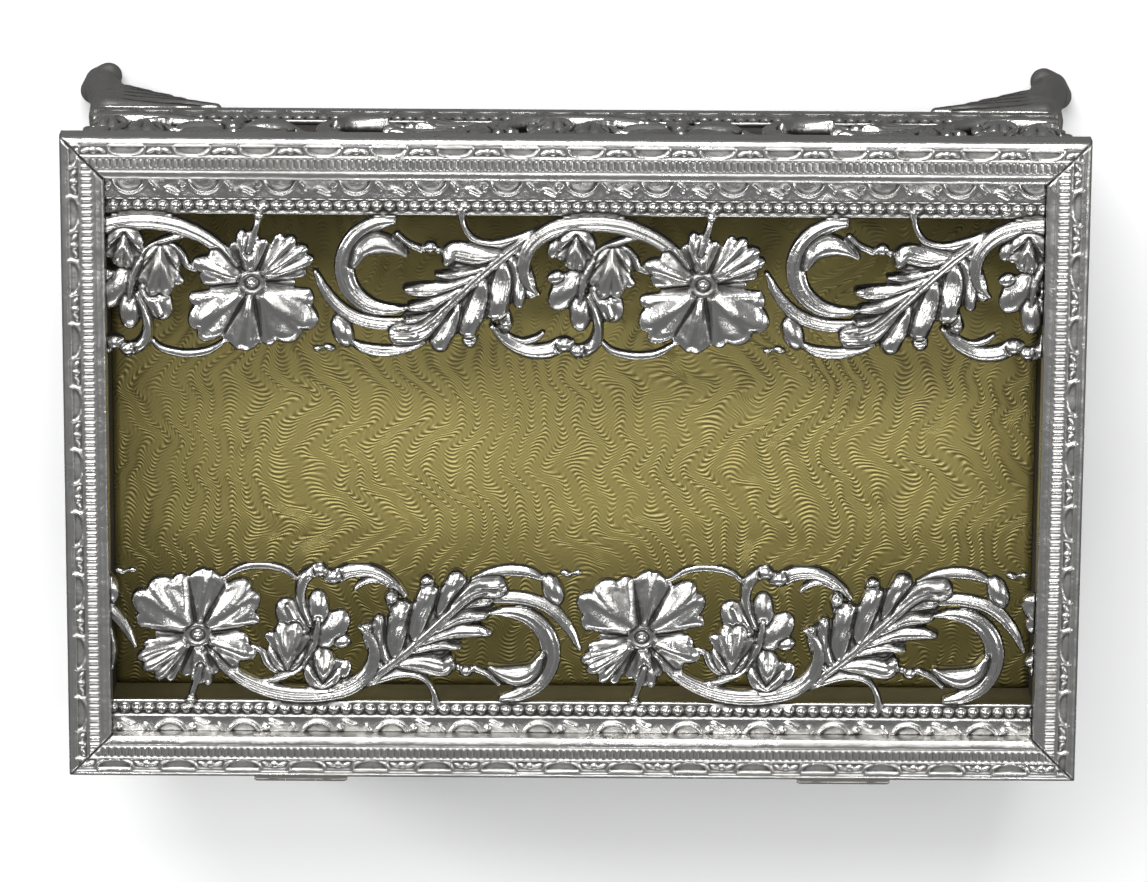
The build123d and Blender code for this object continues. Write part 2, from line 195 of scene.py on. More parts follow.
def dome(relief, middle, radii, height, turn=0.0, lift=0.35, edge=0.35, power=0.66):
    margin = max(radii) + 1.0
    low, high = np.array(middle) - margin, np.array(middle) + margin
    c, s = math.cos(math.radians(turn)), math.sin(math.radians(turn))
    for part, u, w in windows(relief, low, high):
        x = (u - middle[0]) * c + (w - middle[1]) * s
        y = (w - middle[1]) * c - (u - middle[0]) * s
        v = np.hypot(x / radii[0], y / radii[1])
        raised = lift + height * np.clip(1 - v ** 2, 0, 1) ** power
        lay(relief, part, raised, min(radii) * (1 - v), edge)


def petal(relief, middle, aim, halfAngle, length, height, lobes, ribs):
    # a fan from its middle towards aim: it rises to crest, a share of its length, and then sinks
    crest, base, ribDepth, rimWidth = 0.48, 0.45, 0.62, 1.5
    margin = length + 1.5
    low, high = np.array(middle) - margin, np.array(middle) + margin
    for part, u, w in windows(relief, low, high):
        r = np.hypot(u - middle[0], w - middle[1])
        angle = np.degrees(np.arctan2(w - middle[1], u - middle[0])) - aim
        x = ((angle + 180) % 360 - 180) / halfAngle
        # the rim is cut into round lobes of uneven length
        scallop = np.abs(np.cos(math.pi * lobes * (x + 1) / 2 + 0.35 * x)) ** 0.7
        reach = length * (1 - 0.22 * x ** 2) * (0.90 + 0.10 * scallop + 0.03 * np.sin(5 * x + aim))
        p = r / reach
        swell = np.clip(1 - np.abs(x) ** 2.2, 0, 1) ** 0.62
        climb = 0.30 + 0.70 * np.sin(np.clip(p / crest, 0, 1) * math.pi / 2)
        rise = np.where(p < crest, climb, 1 - 1.7 * (p - crest) ** 2)
        fold = (0.5 - 0.5 * np.cos(2 * math.pi * ribs * (x + 1) / 2)) ** 1.4
        depth = ribDepth * np.clip(p * 2.2 - 0.5, 0, 1) * np.clip((1.04 - p) * 4, 0.35, 1)
        inside = np.minimum(reach - r, r * np.radians(halfAngle) * (1 - np.abs(x)) + 0.05)
        rim = np.clip(inside / rimWidth, 0, 1) ** 0.6
        raised = base + height * swell * rise * (0.4 + 0.6 * rim) - depth * fold
        lay(relief, part, raised, inside, 0.35)


leafLobe = {  # what all lobes of the acanthus leaf share
    "height": 1.45, "lift": 0.5, "edge": 0.6, "power": 0.8, "bulge": 0.8, "runOut": 0.45,
    "grooves": ((0.30, 0.40, 0.13), (-0.12, 0.30, 0.12), (-0.52, 0.30, 0.12)),
}
flowerMiddle = (0.0, -15.0)
petalKeys = ("middle", "aim", "halfAngle", "length", "height", "lobes", "ribs")

# Along runs with the border on the upper side. Across is 0 on the openwork's root line and falls
# towards the free edge. Lengths are in mm, from the first flower's middle.
bandPattern = {
    "pitch": 89.4,
    "gridStep": 0.25,
    "softness": 0.55,    # blur of the whole relief, in grid steps
    "sheet": 0.6,
    "border": 8.0,
    "openwork": 30.2,
    "innerEdge": -1.2,   # where the solid border ends, past the openwork's root line
    "overBorder": 0.3,   # how far stems run up on the border
    "plate": {"lip": 0.40, "channel": 0.20, "field": 0.58, "channelHalf": 1.25},
    "bead": {"pitch": 2.483, "across": 0.65, "radius": 1.12, "height": 1.05},
    "lunette": {"pitch": 14.9, "first": 5.7, "across": 6.75, "radius": 3.35, "rim": 0.36,
                "height": 0.52, "sunk": 0.22},
    "squiggle": {
        "height": 0.48,
        "width": 0.36,
        "marks": [(4.7, -42, 1.0, 4.6), (8.6, -14, 1.5, 3.6), (10.4, -48, 0.7, 4.5), (-4.3, 44, 0.7, 4.6)],
    },
    # laid in this order, each over those before it
    "shapes": [
        # tie along the border, arcs and scrolls at the free edge
        {"points": [(59.5, 0.2, 1.0), (67.0, 0.0, 1.3), (74.5, 0.2, 1.0)],
         "height": 0.1, "lift": 0.4, "edge": 0},
        {"points": [(69.3, -26.6, 0.5), (71.6, -28.6, 0.8), (76.0, -29.55, 0.9), (80.5, -29.0, 0.85),
                    (84.5, -26.6, 0.5)],
         "height": 0.9, "grooves": ((0.0, 0.2, 0.25),)},
        {"points": [(19.6, -26.9, 0.6), (22.4, -28.3, 1.2), (26.6, -28.8, 1.3), (31.0, -28.2, 1.0),
                    (34.0, -26.9, 0.6)],
         "height": 1.1, "grooves": ((0.2, 0.35, 0.2), (-0.45, 0.3, 0.2))},
        {"middle": (17.9, -24.8), "radii": (3.6, 2.2), "height": 1.8, "turn": -68},
        {"middle": (15.3, -28.2), "radii": (1.3, 0.75), "height": 0.7, "turn": -20},
        {"middle": (12.9, -28.4), "radii": (0.9, 0.6), "height": 0.5},
        {"points": [(50.0, -25.0, 0.5), (53.2, -26.7, 0.8), (56.2, -26.0, 0.8), (57.7, -24.8, 0.5)],
         "height": 1.0},
        {"points": [(47.6, -23.6, 0.7), (50.3, -26.6, 1.2), (54.3, -28.6, 1.5), (58.6, -28.6, 1.75),
                    (61.6, -27.2, 1.6), (63.3, -26.8, 0.8)],
         "height": 1.5, "grooves": ((0.35, 0.35, 0.2),)},
        {"middle": (62.0, -27.3), "radii": (1.9, 1.7), "height": 1.5},
        {"points": [(12.6, -12.6, 0.6), (14.4, -16.3, 1.1), (17.2, -19.8, 1.35), (21.0, -22.2, 1.4),
                    (26.0, -23.2, 1.4), (31.0, -22.8, 1.1)],
         "height": 1.1, "grooves": ((0.3, 0.45, 0.2), (-0.4, 0.35, 0.18))},
        # large C scroll, its rolled head and the link to the leaf
        {"points": [(28.0, -2.2, 0.95), (24.6, -2.9, 1.5), (21.0, -5.2, 1.95), (18.8, -8.8, 2.1),
                    (18.4, -12.6, 2.1), (19.8, -16.4, 2.0), (23.0, -19.2, 1.7), (26.8, -20.2, 1.25),
                    (30.2, -20.0, 0.7)],
         "height": 1.35, "lift": 0.5, "power": 0.5,
         "grooves": ((0.45, 0.5, 0.16), (0.0, 0.35, 0.2), (-0.5, 0.45, 0.16))},
        {"points": [(30.6, -9.0, 0.6), (28.2, -7.6, 1.7), (25.0, -6.9, 2.45), (22.0, -8.2, 1.9),
                    (20.4, -11.0, 1.0)],
         "height": 2.2, "lift": 0.5, "edge": 0.45},
        {"points": [(28.8, -4.9, 0.6), (31.0, -6.9, 0.75), (33.6, -8.1, 0.9)], "height": 0.8},
        {"middle": (35.4, -7.6), "radii": (1.45, 1.3), "height": 1.2},
        {"middle": (37.2, -8.4), "radii": (0.9, 0.7), "height": 0.6},
        {"points": [(41.4, 0.6, 0.9), (41.9, -3.0, 0.7), (43.9, -5.9, 0.75), (47.6, -6.8, 0.8),
                    (52.0, -5.9, 0.9), (56.4, -4.2, 0.7)],
         "height": 0.8},
        # acanthus leaf: web, lobes, midrib
        {"points": [(28.5, -24.8, 1.6), (34.0, -21.8, 3.2), (39.5, -17.6, 4.6), (45.5, -12.9, 4.8),
                    (51.0, -8.6, 3.0), (55.0, -5.4, 1.2)],
         "height": 0.5, "lift": 0.4, "edge": 0},
        *({"points": points, **leafLobe} for points in (
            [(52.5, -8.2, 0.8), (54.2, -12.6, 1.5), (55.4, -16.8, 1.4)],
            [(51.0, -9.0, 0.8), (52.5, -13.5, 1.7), (53.0, -18.8, 1.3)],
            [(50.0, -20.2, 1.0), (50.4, -23.0, 1.6)],
            [(49.4, -9.8, 0.9), (49.7, -14.5, 2.2), (48.2, -20.0, 2.7)],
            [(43.6, -24.2, 1.2), (43.2, -26.6, 1.7)],
            [(45.5, -13.2, 0.9), (45.2, -18.2, 2.0), (42.9, -24.0, 2.3)],
            [(40.6, -18.0, 0.8), (39.6, -22.6, 1.7), (37.3, -27.0, 2.2)],
            [(49.5, -9.2, 0.9), (44.5, -9.2, 2.0), (40.0, -8.4, 2.1), (38.5, -10.4, 1.1)],
            [(46.5, -11.8, 0.8), (41.5, -13.1, 1.2), (36.6, -12.9, 0.6)],
            [(45.0, -13.4, 0.8), (39.0, -15.8, 1.6), (33.2, -16.2, 1.6), (30.8, -16.0, 1.1)],
            [(42.8, -15.6, 0.8), (37.0, -18.8, 1.5), (31.6, -19.6, 1.1)],
            [(41.0, -17.8, 0.8), (36.0, -21.9, 1.5), (31.0, -22.4, 1.0)],
            [(38.6, -20.2, 0.8), (33.6, -24.6, 2.2), (29.2, -25.4, 2.3)],
        )),
        {"points": [(27.5, -25.0, 0.5), (33.5, -24.0, 0.8), (39.0, -19.4, 0.85), (44.8, -13.8, 0.9),
                    (50.6, -8.8, 0.9), (56.0, -4.8, 0.8)],
         "height": 0.8, "lift": 1.0, "edge": 0.3, "grooves": ((0.0, 0.45, 0.3),)},
        # bud spray
        {"middle": (62.4, -16.2), "radii": (4.9, 3.0), "height": 1.6, "turn": 52},
        {"middle": (60.2, -13.6), "radii": (1.9, 1.4), "height": 1.1, "turn": 20},
        {"middle": (70.2, -18.2), "radii": (5.0, 3.1), "height": 1.7, "turn": -62},
        {"points": [(67.6, -14.6, 0.5), (69.8, -18.0, 0.8), (71.2, -21.4, 0.6)], "height": 0.7, "lift": 1.5},
        {"middle": (65.1, -20.8), "radii": (3.9, 2.3), "height": 1.7, "turn": 90},
        {"points": [(66.6, -17.2, 0.5), (68.0, -20.5, 0.9), (68.7, -24.0, 1.2), (67.6, -27.4, 1.5),
                    (64.7, -28.9, 1.45)],
         "height": 1.7},
        {"middle": (64.6, -28.6), "radii": (1.7, 1.45), "height": 1.3},
        {"points": [(70.5, -8.0, 0.5), (73.5, -7.6, 0.75), (75.6, -9.3, 0.85), (76.6, -11.6, 0.8),
                    (78.4, -12.4, 0.7)],
         "height": 0.9},
        {"middle": (79.5, -12.0), "radii": (1.2, 0.9), "height": 0.9},
        {"middle": (63.7, -11.3), "radii": (1.7, 0.9), "height": 0.9, "turn": -10},
        {"points": [(79.0, -5.0, 0.6), (73.5, -5.9, 0.8), (69.5, -8.0, 0.95), (67.0, -11.2, 1.0),
                    (65.6, -15.0, 0.9), (65.1, -18.5, 0.5)],
         "height": 1.2, "lift": 0.6},
        {"middle": (71.5, -11.4), "radii": (3.9, 4.4), "height": 1.9},
        dict(zip(petalKeys, ((71.4, -7.2), -92, 34, 11.0, 2.3, 3, 3))),
        # main stem over the spray's root, with the second bud on it
        {"middle": (60.2, -7.6), "radii": (2.4, 1.6), "height": 0.8, "turn": 60},
        {"points": [(56.9, -17.0, 0.3), (54.6, -14.6, 1.0), (53.9, -11.0, 1.35), (55.2, -7.2, 1.6),
                    (58.6, -4.3, 1.75), (63.0, -3.0, 1.75), (68.5, -2.6, 1.75), (74.0, -3.3, 1.7),
                    (79.0, -5.2, 1.6), (83.0, -7.8, 1.4), (86.2, -11.0, 1.0)],
         "height": 1.45, "lift": 0.75, "power": 0.5, "grooves": ((0.45, 0.4, 0.15), (-0.05, 0.5, 0.18))},
        {"middle": (64.4, -6.8), "radii": (3.8, 3.3), "height": 1.5, "lift": 0.8},
        dict(zip(petalKeys, ((64.3, -4.6), -94, 38, 7.6, 2.2, 3, 3))),
        # flower over everything: its ground, six petals, the stalk and the boss
        {"middle": flowerMiddle, "radii": (8.5, 8.5), "height": 0.3, "edge": 0},
        *(dict(zip(petalKeys, (flowerMiddle, *petalSizes))) for petalSizes in (
            (221, 31, 15.6, 2.35, 3, 2),
            (-99, 20, 14.8, 1.75, 1, 2),
            (-44, 38, 15.4, 2.45, 3, 2),
            (35, 29, 13.6, 2.05, 4, 4),
            (158, 26, 12.2, 1.95, 2, 2),
            (95, 27, 11.0, 1.85, 3, 3),
        )),
        {"points": [(-0.6, -8.5, 0.9), (0.6, -4.6, 0.8), (1.3, -2.2, 0.75), (1.7, 0.6, 0.7)],
         "height": 0.9, "lift": 0.7},
        {"middle": (1.5, -1.3), "radii": (1.2, 1.0), "height": 1.3},
        {"middle": flowerMiddle, "radii": (2.8, 2.6), "height": 0.5, "lift": 0.75},
        {"middle": flowerMiddle, "radii": (1.9, 1.615), "height": -0.5, "lift": 1.0, "edge": 0.2},
        {"middle": flowerMiddle, "radii": (1.178, 1.14), "height": 1.1, "lift": 0.75, "edge": 0.2},
    ],
    # how the tarnish and painted shade find hollows: (blur in grid steps, depth in mm that counts as full)
    "hollows": [(4.0, 0.9), (1.6, 0.35)],
}


def drawBand():
    p = bandPattern
    relief = newRelief(p["pitch"], -p["openwork"], p["border"], p["gridStep"])
    for shape in p["shapes"]:
        draw = stroke if "points" in shape else petal if "aim" in shape else dome
        draw(relief, **shape)
    drawBorder(relief)
    height = blurred(relief["height"], p["softness"], True)
    relief["height"] = height
    hollow = sum((blurred(height, blur, True) - height) / depth for blur, depth in p["hollows"])
    relief["cavity"] = np.clip(hollow, -1, 1)
    return relief


def drawBorder(relief):
    p = bandPattern
    u, w = relief["u"], relief["w"]
    plate, bead, lunette, squiggle = p["plate"], p["bead"], p["lunette"], p["squiggle"]
    raised = np.where(w < bead["across"] + plate["channelHalf"], plate["channel"], plate["field"])
    raised = np.where(w < bead["across"] - plate["channelHalf"], plate["lip"], raised)
    x = (u + bead["pitch"] / 2) % bead["pitch"] - bead["pitch"] / 2
    v = np.hypot(x, w - bead["across"]) / bead["radius"]
    raised = np.maximum(raised, plate["channel"] + bead["height"] * np.clip(1 - v ** 2, 0, 1) ** 0.6)
    # raised crescents with squiggles between them
    field = w > bead["across"] + plate["channelHalf"] + 0.1
    x = (u - lunette["first"] + lunette["pitch"] / 2) % lunette["pitch"] - lunette["pitch"] / 2
    r = np.hypot(x, w - lunette["across"])
    raised = raised - lunette["sunk"] * np.clip((lunette["radius"] - r) / 0.4, 0, 1) * field
    raised = raised + lunette["height"] * np.exp(-((r - lunette["radius"]) / lunette["rim"]) ** 2) * field
    for place, tilt, length, across in squiggle["marks"]:
        c, s = math.cos(math.radians(tilt)), math.sin(math.radians(tilt))
        a = (x - place + 7) % lunette["pitch"] - 7
        b = (w - across) * c - a * s + 0.15 * np.sin(a * 2)
        a = a * c + (w - across) * s
        mark = np.exp(-(a / length) ** 4 - (b / squiggle["width"]) ** 2)
        raised = raised + squiggle["height"] * mark * field
    border = w >= p["innerEdge"]
    stems = relief["height"] * (w < p["overBorder"])
    relief["height"] = np.where(border, np.maximum(raised, stems), relief["height"])
    relief["inside"] = np.maximum(relief["inside"], w - p["innerEdge"])


def sheetMesh(name, plane, u, w, height, cell, thickness, cavity):
    # a thin sheet over a grid: relief on its face, a flat back, and walls round whatever is cut away
    index = np.arange(u.size).reshape(u.shape)
    quads = np.stack([index[:-1, :-1], index[1:, :-1], index[1:, 1:], index[:-1, 1:]], axis=-1)
    count = u.size
    # the back takes one large face wherever a whole tile of cells is there
    k = backTile
    rows, columns = cell.shape[0] // k, cell.shape[1] // k
    whole = cell[:rows * k, :columns * k].reshape(rows, k, columns, k).all(axis=(1, 3))
    small = cell.copy()
    small[:rows * k, :columns * k] &= ~np.repeat(np.repeat(whole, k, axis=0), k, axis=1)
    i, j = (place[:, None] * k for place in np.nonzero(whole))
    step, full, none = np.arange(k)[None], np.full((1, k), k), np.zeros((1, k), dtype=int)
    tiles = np.hstack([index[i + none, j + step], index[i + step, j + full],
                       index[i + full, j + full - step], index[i + full - step, j + none]]) + count
    pad = np.pad(cell, 1)
    walls = []
    sides = ((0, -1, (0, 1), (0, 0)), (0, 1, (1, 0), (1, 1)), (1, -1, (0, 0), (1, 0)), (1, 1, (1, 1), (0, 1)))
    for axis, way, a, b in sides:
        gap = cell & ~np.roll(pad, -way, axis=axis)[1:-1, 1:-1]
        i, j = np.nonzero(gap)
        first, second = index[i + a[0], j + a[1]], index[i + b[0], j + b[1]]
        walls.append(np.stack([first, first + count, second + count, second], axis=-1))
    quads = np.vstack([quads[cell], quads[small][:, ::-1] + count] + walls)
    origin, along, across, out = plane
    flat = u.ravel()[:, None] * along + w.ravel()[:, None] * across + origin
    points = np.vstack([flat + height.ravel()[:, None] * out, flat - thickness * out])
    used, numbers = np.unique(np.concatenate([quads.ravel(), tiles.ravel()]), return_inverse=True)
    faces = [numbers[:quads.size].reshape(quads.shape), numbers[quads.size:].reshape(tiles.shape)]
    shade = np.concatenate([cavity.ravel(), np.full(count, 0.3)])[used]
    return gridMesh(name, points[used], faces, shade)


def bandMesh(name, relief, plane, length, firstFlower, flatEnd, flatBorder, moved):
    # flatEnd and flatBorder are where the relief stops, for the edges that go under other pieces;
    # moved is how far the whole pattern sits towards the border, whose outer rows then go
    step = relief["along"][1]
    rows = len(relief["across"]) - round(moved / bandPattern["gridStep"])
    k0 = math.ceil((-length / 2 - firstFlower) / step)
    k1 = math.floor((length / 2 - firstFlower) / step)
    ks = np.arange(k0, k1 + 1)
    along = firstFlower + ks * step
    along[0], along[-1] = -length / 2, length / 2
    columns = ks % len(relief["along"])
    height, inside, cavity = (relief[key][columns, :rows].copy() for key in ("height", "inside", "cavity"))
    u, w = np.meshgrid(along, relief["across"][:rows], indexing="ij")
    height[(np.abs(u) > flatEnd) | (w > flatBorder)] = -0.01
    # outline: drop the cells outside and pull the edge points onto the outline
    gu = np.gradient(inside, axis=0) / step
    gw = np.gradient(inside, axis=1) / (relief["across"][1] - relief["across"][0])
    slope = np.maximum(gu ** 2 + gw ** 2, 0.3)
    pull = np.where((inside < 0) & (np.abs(u) < length / 2), np.clip(inside / slope, -step * 0.9, 0), 0)
    u = u - pull * gu
    w = np.clip(w - pull * gw, relief["across"][0], relief["across"][rows - 1])
    height = np.where(inside < 0, 0.12, height)
    solid = inside > 0
    cell = solid[:-1, :-1] | solid[1:, :-1] | solid[:-1, 1:] | solid[1:, 1:]
    return sheetMesh(name, plane, u, w + moved, height, cell, bandPattern["sheet"], cavity)


moulding = {
    "gridStep": 0.21,
    "shoulder": 1.3,
    "mitre": 0.28,      # half width of the seam cut at the corners
    "seamDepth": 0.35,
    "row": (1.35, 3.75),  # the lunettes' row, in from the outer edge
    "rowGround": 0.26,
    "lunette": {"pitch": 12.9, "first": 13.2, "across": 1.95, "halfWidth": 3.45, "depth": 1.75,
                "sunk": 0.26, "rim": 0.20},
    "floret": {"across": 2.75, "radius": 0.75, "height": 0.42},
    "leaf": {"out": 1.55, "across": 2.8, "length": 0.95, "width": 0.42, "height": 0.34},
    "lines": [(1.75, 0.14, 0.16)],  # raised lines in the row: (place, height, width)
    "ridge": 4.0,
    "dentil": {"pitch": 1.34, "low": 4.25, "high": 6.35, "height": 0.30, "sunk": 0.18},
    "bevelStart": 6.9,
    "bevelDrop": 0.6,
    "skin": 0.8,
    "legFoot": 1.6,
}


def band01(x, low, high, soft):
    # 1 between low and high, falling off softly
    return np.clip((x - low) / soft, 0, 1) * np.clip((high - x) / soft, 0, 1)


def mouldingRelief(t, s):
    # t runs along the rail and s inwards from its outer edge
    m = moulding
    lunette, floret, leaf, dentil = m["lunette"], m["floret"], m["leaf"], m["dentil"]
    x = (t - lunette["first"] + lunette["pitch"] / 2) % lunette["pitch"] - lunette["pitch"] / 2
    r = np.hypot(x / lunette["halfWidth"], np.maximum(s - lunette["across"], 0) / lunette["depth"])
    sunk = np.clip((1 - r) / 0.12, 0, 1) * (s > lunette["across"] - 0.05)
    raised = -lunette["sunk"] * sunk
    raised = raised + lunette["rim"] * np.exp(-((r - 1.06) / 0.09) ** 2) * (s > lunette["across"])
    for place, height, width in m["lines"]:
        raised = raised + height * np.exp(-((s - place) / width) ** 2)
    # a small floret with two leaves between the lunettes
    y = (x + lunette["pitch"]) % lunette["pitch"] - lunette["pitch"] / 2
    between = np.clip((np.abs(x) - lunette["halfWidth"]) / 0.4, 0, 1)
    v = (y / floret["radius"]) ** 2 + ((s - floret["across"]) / floret["radius"]) ** 2
    work = floret["height"] * np.clip(1 - v, 0, 1) ** 0.5
    for side in (-1, 1):
        a = y - side * leaf["out"]
        lean = s - leaf["across"] - side * 0.35 * a
        v = (a / leaf["length"]) ** 2 + (lean / leaf["width"]) ** 2
        work = np.maximum(work, leaf["height"] * np.clip(1 - v, 0, 1) ** 0.5)
    row = band01(s, *m["row"], 0.15)
    raised = raised * row + (work - m["rowGround"]) * between * row
    raised = raised + 0.16 * np.exp(-((s - m["ridge"]) / 0.14) ** 2)
    bars = (0.5 + 0.5 * np.cos(2 * math.pi * t / dentil["pitch"])) ** 0.7
    row = band01(s, dentil["low"], dentil["high"], 0.3)
    raised = raised + (dentil["height"] * bars - dentil["sunk"]) * row
    return raised - 0.16 * np.exp(-((s - m["bevelStart"] + 0.25) / 0.16) ** 2)


def mouldingRing(width, height):
    # the closed section, as (inward, up, share of relief)
    m = moulding
    start, drop = m["bevelStart"], m["bevelDrop"]
    top = height - m["skin"] - 0.3
    ring = [(0.0, h, 0.0) for h in np.linspace(0, height - m["shoulder"], 5)]
    ring += [(m["shoulder"] * (1 - math.cos(a)), height - m["shoulder"] * (1 - math.sin(a)), 0.0)
             for a in np.linspace(0.2, 1.45, 6)]
    count = round((start - m["shoulder"]) / 0.17)
    ring += [(s, height, 1.0) for s in np.linspace(m["shoulder"], start, count)]
    ring += [(start + (width - start) * math.sin(a), height - drop * (1 - math.cos(a)), 0.0)
             for a in np.linspace(0.2, math.pi / 2, 7)]
    inner = [(width, height - drop - 0.5), (width, m["legFoot"] + 0.4), (width, m["legFoot"]),
             (width - m["skin"], m["legFoot"]), (width - m["skin"], height - drop - m["skin"]),
             (start, top), (m["shoulder"], top), (m["skin"], height - m["shoulder"] - 0.3), (m["skin"], 0.0)]
    return np.array(ring + [(s, h, 0.0) for s, h in inner])


def mouldingMesh(name, start, run, inward, length, width, height):
    ring = mouldingRing(width, height)
    steps = round(length / moulding["gridStep"])
    t, k = np.meshgrid(np.linspace(0, length, steps + 1), np.arange(len(ring)), indexing="ij")
    s, z, share = ring[k, 0], ring[k, 1], ring[k, 2]
    t = np.clip(t, s, length - s)
    fromMitre = np.minimum(t - s, length - s - t)
    relief = mouldingRelief(t, s) * share * np.clip(fromMitre / 0.5, 0, 1)
    seam = np.exp(-(fromMitre / moulding["mitre"]) ** 2) * (z > moulding["legFoot"] + 1)
    raised = z + relief - moulding["seamDepth"] * seam
    start, run, inward = (np.array(v, dtype=float) for v in (start, run, inward))
    points = start + t[..., None] * run + s[..., None] * inward + raised[..., None] * np.array((0, 0, 1.0))
    hollow = blurred(relief, 3.0, False) - relief
    cavity = np.maximum(np.clip(hollow / 0.20, -1, 1) * (share > 0), seam * 1.4)
    index = np.arange(t.size).reshape(t.shape)
    after = np.roll(index, -1, axis=1)
    quads = np.stack([index[:-1], after[:-1], after[1:], index[1:]], axis=-1).reshape(-1, 4)
    flat = t.ravel()
    sides = np.abs(flat[quads[:, 3]] - flat[quads[:, 0]]) + np.abs(flat[quads[:, 2]] - flat[quads[:, 1]])
    kept = sides > 1e-6
    mesh = gridMesh(name, points.reshape(-1, 3), [quads[kept]], cavity.ravel())
    bm = bmesh.new()
    bm.from_mesh(mesh)
    bmesh.ops.remove_doubles(bm, verts=bm.verts, dist=1e-7)
    bmesh.ops.holes_fill(bm, edges=[e for e in bm.edges if e.is_boundary], sides=0)
    bmesh.ops.recalc_face_normals(bm, faces=bm.faces)
    bm.to_mesh(mesh)
    bm.free()
    return mesh


class Shader:
    # short way to lay out nodes
    def __init__(self, name):
        self.material = bpy.data.materials.new(name)
        self.material.use_nodes = True
        self.tree = self.material.node_tree
        self.shader = self.tree.nodes["Principled BSDF"]
        self.place = self.add("ShaderNodeTexCoord").outputs["Object"]

    def add(self, kind, **settings):
        node = self.tree.nodes.new(kind)
        for key, value in settings.items():
            setattr(node, key, value)
        return node

    def feed(self, socket, value):
        if isinstance(value, (int, float, tuple)):
            socket.default_value = value
        else:
            self.tree.links.new(value, socket)

    def noise(self, scale, detail=3.0, roughness=0.5, vector=None):
        node = self.add("ShaderNodeTexNoise")
        self.feed(node.inputs["Vector"], vector or self.place)
        node.inputs["Scale"].default_value = scale
        node.inputs["Detail"].default_value = detail
        node.inputs["Roughness"].default_value = roughness
        return node.outputs["Fac"]

    def math(self, operation, a, b=0.0, c=0.0):
        node = self.add("ShaderNodeMath", operation=operation)
        for socket, value in zip(node.inputs, (a, b, c)):
            self.feed(socket, value)
        return node.outputs[0]

    def span(self, value, low, high, toLow=0.0, toHigh=1.0):
        node = self.add("ShaderNodeMapRange", clamp=True)
        self.feed(node.inputs["Value"], value)
        for key, number in zip(("From Min", "From Max", "To Min", "To Max"), (low, high, toLow, toHigh)):
            node.inputs[key].default_value = number
        return node.outputs["Result"]

    def mix(self, factor, a, b):
        node = self.add("ShaderNodeMix", data_type="RGBA")
        self.feed(node.inputs["Factor"], factor)
        self.feed(node.inputs["A"], a)
        self.feed(node.inputs["B"], b)
        return node.outputs["Result"]

    def bump(self, height, strength, distance, before=None):
        node = self.add("ShaderNodeBump")
        node.inputs["Strength"].default_value = strength
        node.inputs["Distance"].default_value = distance
        self.feed(node.inputs["Height"], height)
        if before is not None:
            self.feed(node.inputs["Normal"], before)
        return node.outputs["Normal"]

    def to(self, name, value):
        self.feed(self.shader.inputs[name], value)


silver = {
    "bright": (0.56, 0.555, 0.54, 1),
    "grey": (0.38, 0.375, 0.36, 1),
    "hollow": (0.035, 0.033, 0.03, 1),
    "stain": (0.16, 0.105, 0.06, 1),
    "cloudSize": 60,     # noise scales: large clouds, fine grime, stains and where stains may be
    "grimeSize": 900,
    "stainSize": 95,
    "stainPlaces": 17,
    "bumps": [(1400, 3, 0.7, 0.10, 0.0004), (260, 3, 0.55, 0.20, 0.0012), (95, 2, 0.5, 0.16, 0.003)],
}


def silverPlate(name, rough, hollowShadeShare, stainShare, greyShare=1.0):
    # the shares are how strongly the tarnish and painted shade in hollows, and the stains, show; greyShare
    # spreads the grey
    m = Shader(name)
    cavity = m.add("ShaderNodeAttribute", attribute_name="cavity").outputs["Fac"]
    cloud = m.noise(silver["cloudSize"], 5, 0.6)
    fine = m.noise(silver["grimeSize"], 4, 0.65)
    colour = m.mix(m.span(cloud, 0.35 / greyShare, 0.68 / greyShare), silver["bright"], silver["grey"])
    depth = m.math("ADD", cavity, m.span(fine, 0.3, 0.7, -0.12, 0.12))
    # hollows are pulled towards near black: tarnish, and painted shade in the recesses
    colour = m.mix(m.span(depth, 0.08, 0.75, 0.0, hollowShadeShare), colour, silver["hollow"])
    spots = m.span(m.noise(silver["stainSize"], 6, 0.75), 0.60, 0.70, 0.0, stainShare)
    spots = m.math("MULTIPLY", spots, m.span(m.noise(silver["stainPlaces"], 2), 0.52, 0.62))
    m.to("Base Color", m.mix(spots, colour, silver["stain"]))
    m.to("Metallic", 1.0)
    worn = m.span(cloud, 0.3, 0.7, rough - 0.04, rough + 0.10)
    roughness = m.math("ADD", worn, m.span(depth, 0.0, 0.8, 0.0, 0.25))
    m.to("Roughness", m.math("ADD", roughness, m.math("MULTIPLY", spots, 0.35)))
    normal = None
    for scale, detail, roughness, strength, distance in silver["bumps"]:
        normal = m.bump(m.noise(scale, detail, roughness), strength, distance, normal)
    m.to("Normal", normal)
    return m.material


def plainMetal(name, colour, rough):
    m = Shader(name)
    cloud = m.noise(140, 4, 0.6)
    dull = tuple(c * 0.6 for c in colour[:3]) + (1,)
    m.to("Base Color", m.mix(m.span(cloud, 0.35, 0.7), colour, dull))
    m.to("Metallic", 1.0)
    m.to("Roughness", m.span(cloud, 0.3, 0.7, rough, rough + 0.15))
    m.to("Normal", m.bump(m.noise(1100, 3, 0.6), 0.12, 0.0004))
    return m.material


def bandPlane(node, across, out):
    # the face plane of a band from its CAD node: (origin, along, across, out), and the band's length
    low, high = nodeBox(node)
    across, out = np.array(across, dtype=float), np.array(out, dtype=float)
    along = np.cross(across, out)
    edge = max(low @ across, high @ across) - bandPattern["border"]
    face = min(low @ out, high @ out) + bandPattern["sheet"]
    origin = across * edge + out * face + along * ((low + high) @ along / 2)
    return (origin, along, across, out), abs((high - low) @ along)


